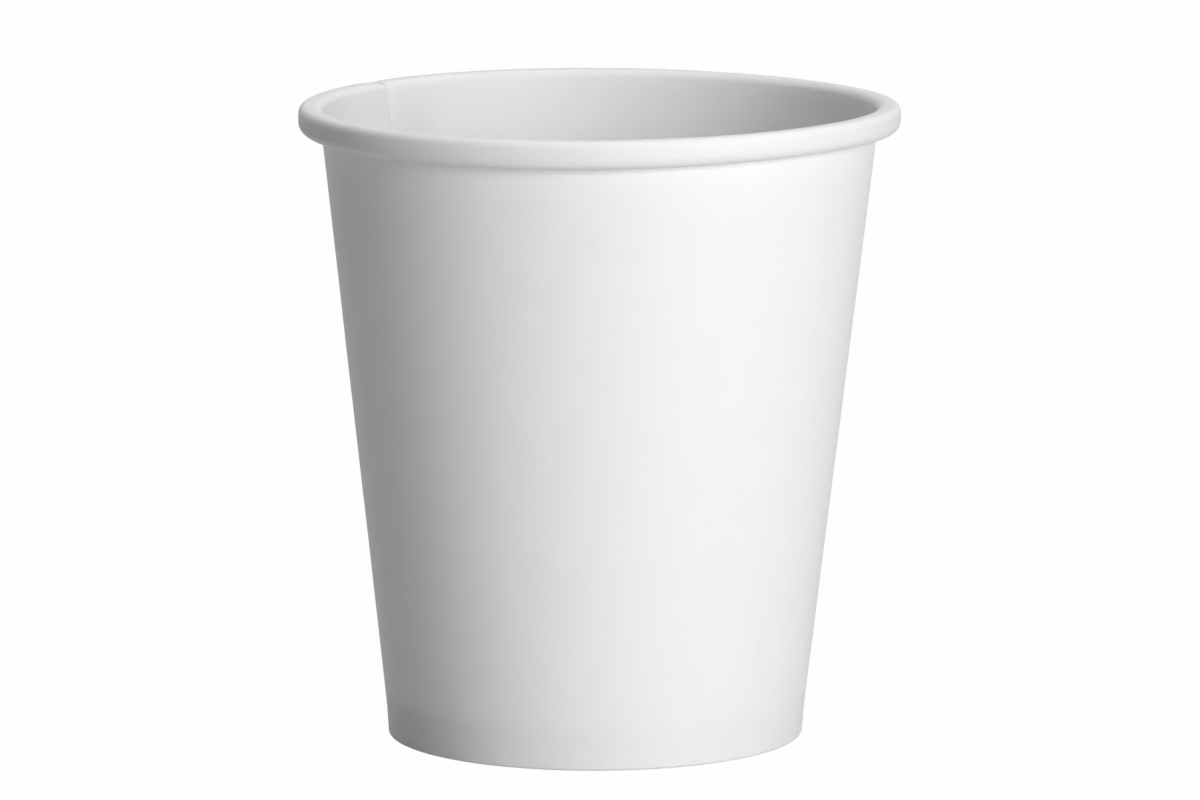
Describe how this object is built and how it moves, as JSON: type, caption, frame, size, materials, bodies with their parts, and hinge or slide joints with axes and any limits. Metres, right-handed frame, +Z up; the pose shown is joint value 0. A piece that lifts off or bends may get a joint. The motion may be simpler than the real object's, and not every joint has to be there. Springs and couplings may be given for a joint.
{
  "type": "paper bathroom cup",
  "caption": "Small tapered paper cup with a rolled rim, a lapped side seam and a recessed bottom disc held in a folded foot.",
  "frame": {"origin": "middle of the foot, on the surface that the cup stands on", "axes": "+Z is up along the cup's axis, from the foot to the open rim. +X is to the viewer's right and -Y is towards the viewer. The side seam is at the back, on the -X side."},
  "size_m": [0.057, 0.057, 0.0604],
  "materials": {
    "sidewall_board": "white cup board with a thin matt coating",
    "bottom_board": "white cup board with a thin matt coating"
  },
  "bodies": {
    "root": {"sidewall": "sidewall_board", "bottom_disc": "bottom_board"}
  },
  "joints": []
}
